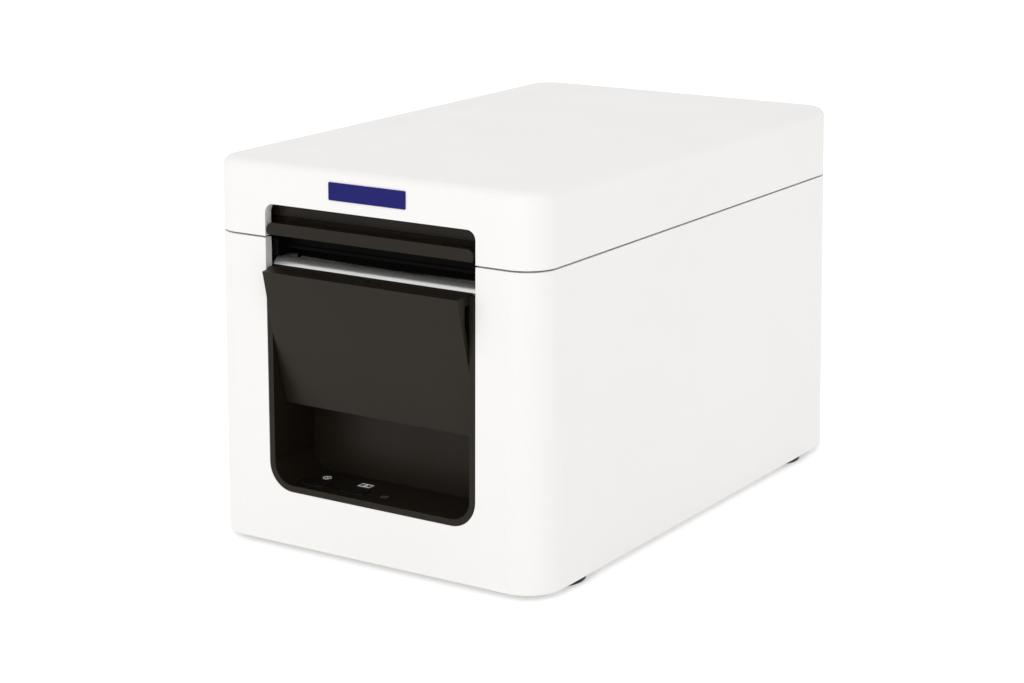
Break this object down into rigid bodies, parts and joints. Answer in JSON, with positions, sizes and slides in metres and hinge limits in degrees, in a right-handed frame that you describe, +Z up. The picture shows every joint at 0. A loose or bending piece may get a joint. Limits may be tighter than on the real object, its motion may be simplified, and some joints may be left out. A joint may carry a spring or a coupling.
{
  "type": "receipt printer",
  "caption": "Compact desktop receipt printer with a hinged cover, a front paper exit, a flared chute, a pull bar that frees the cover, keys in a finger recess and a platen and cutter drive.",
  "frame": {"origin": "centre of the bounding box's base, on the plane the feet stand on", "axes": "+Z up, -Y towards the front where the paper leaves, +X to the printer's right as seen from the front"},
  "size_m": [0.106, 0.1704, 0.1053],
  "materials": {
    "white_plastic": "white moulded plastic with a soft satin sheen",
    "pale_plastic": "pale grey moulded plastic",
    "foot_rubber": "matt black rubber",
    "screw_steel": "zinc-plated screw steel",
    "front_black": "brown-black moulded plastic, satin",
    "liner_black": "matt black moulded plastic",
    "button_black": "satin black keys",
    "lens_grey": "smoky status window",
    "print_white": "printed white pictograms",
    "guide_steel": "polished bent steel strip",
    "blade_steel": "ground blade steel",
    "frame_steel": "zinc-plated sheet steel",
    "frame_black": "black-coated sheet steel",
    "shaft_steel": "turned steel",
    "spring_steel": "spring wire",
    "sink_alu": "extruded aluminium",
    "head_ceramic": "dark glazed ceramic substrate",
    "motor_can": "dark motor can",
    "gear_ivory": "natural acetal",
    "board_green": "green circuit board",
    "mouth_black": "deep black moulded plastic round the paper exit",
    "chip_black": "black electronic parts",
    "socket_black": "black sockets",
    "socket_steel": "socket shell",
    "cable_white": "flat flexible cable",
    "badge_blue": "deep blue name plate, blank",
    "bush_bronze": "sintered bearing bushes",
    "platen_black": "ground platen rubber"
  },
  "bodies": {
    "base": {"base_casing": "white_plastic", "bottom_cover": "pale_plastic", "rubber_feet": "foot_rubber", "bottom_screws": "screw_steel", "front_bezel": "front_black", "chute_panel": "front_black", "exit_guide": "guide_steel", "button_board": "board_green", "button_switches": "chip_black", "status_lens": "lens_grey", "panel_icons": "print_white", "print_frame": "frame_steel", "frame_screws": "screw_steel", "thermal_head": "head_ceramic", "heat_sink": "sink_alu", "head_rod": "shaft_steel", "head_springs": "spring_steel", "feed_motor": "motor_can", "idler_pin": "shaft_steel", "cutter_frame": "frame_black", "cutter_motor": "motor_can", "paper_bucket": "liner_black", "paper_guide": "liner_black", "paper_sensor": "chip_black", "main_board": "board_green", "board_parts": "chip_black", "board_screws": "screw_steel", "interface_board": "board_green", "power_inlet": "socket_black", "data_socket": "socket_steel", "drawer_socket": "socket_black", "rear_panel": "liner_black", "head_cable": "cable_white"},
    "top_cover": {"cover_shell": "white_plastic", "cover_liner": "mouth_black", "cover_screws": "screw_steel", "badge": "badge_blue", "platen_bracket": "frame_steel", "platen_bushes": "bush_bronze", "fixed_blade": "blade_steel", "lever_pins": "shaft_steel", "lever_springs": "spring_steel", "hinge_pins": "shaft_steel"},
    "lever": {"release_lever": "front_black"},
    "platen": {"platen_shaft": "shaft_steel", "platen_rubber": "platen_black", "platen_gear": "gear_ivory"},
    "idler": {"idler_gear": "gear_ivory"},
    "motor_rotor": {"motor_pinion": "gear_ivory"},
    "cutter": {"cutter_blade": "blade_steel"},
    "cutter_drive": {"cutter_pinion": "gear_ivory"},
    "power_key": {"power_button": "button_black"},
    "feed_key": {"feed_button": "button_black"}
  },
  "joints": [
    {"name": "cover_hinge", "type": "hinge", "parent": "base", "child": "top_cover", "pos_m": [0, 0.0809, 0.0854], "axis": [-1, 0, 0], "range_deg": [0, 78]},
    {"name": "lever_pull", "type": "hinge", "parent": "top_cover", "child": "lever", "pos_m": [0, -0.07481, 0.098], "axis": [-1, 0, 0], "range_deg": [0, 9], "stiffness_Nm_per_rad": 0.05, "springref_deg": -11.46},
    {"name": "platen_spin", "type": "hinge", "parent": "top_cover", "child": "platen", "pos_m": [0, -0.06276, 0.0861], "axis": [1, 0, 0], "continuous": true},
    {"name": "idler_spin", "type": "hinge", "parent": "base", "child": "idler", "pos_m": [0, -0.06276, 0.066], "axis": [1, 0, 0], "continuous": true},
    {"name": "motor_spin", "type": "hinge", "parent": "base", "child": "motor_rotor", "pos_m": [0, -0.05189, 0.05305], "axis": [1, 0, 0], "continuous": true},
    {"name": "cutter_slide", "type": "slide", "parent": "base", "child": "cutter", "axis": [0, 0, 1], "range_m": [0, 0.00503]},
    {"name": "cutter_drive_spin", "type": "hinge", "parent": "base", "child": "cutter_drive", "pos_m": [0, -0.06321, 0.057], "axis": [1, 0, 0], "range_deg": [-60.5, 0]},
    {"name": "power_press", "type": "slide", "parent": "base", "child": "power_key", "axis": [0, -0.016, -0.9999], "range_m": [0, 0.0006], "stiffness_N_per_m": 1500, "springref_m": -0.0006},
    {"name": "feed_press", "type": "slide", "parent": "base", "child": "feed_key", "axis": [0, -0.016, -0.9999], "range_m": [0, 0.0006], "stiffness_N_per_m": 1500, "springref_m": -0.0006}
  ],
  "couplings": [
    {"joint": "idler_spin", "follows": "platen_spin", "ratio": -0.66667},
    {"joint": "motor_spin", "follows": "platen_spin", "ratio": 1.6667},
    {"joint": "cutter_drive_spin", "follows": "cutter_slide", "rad_per_m": -208.33}
  ]
}
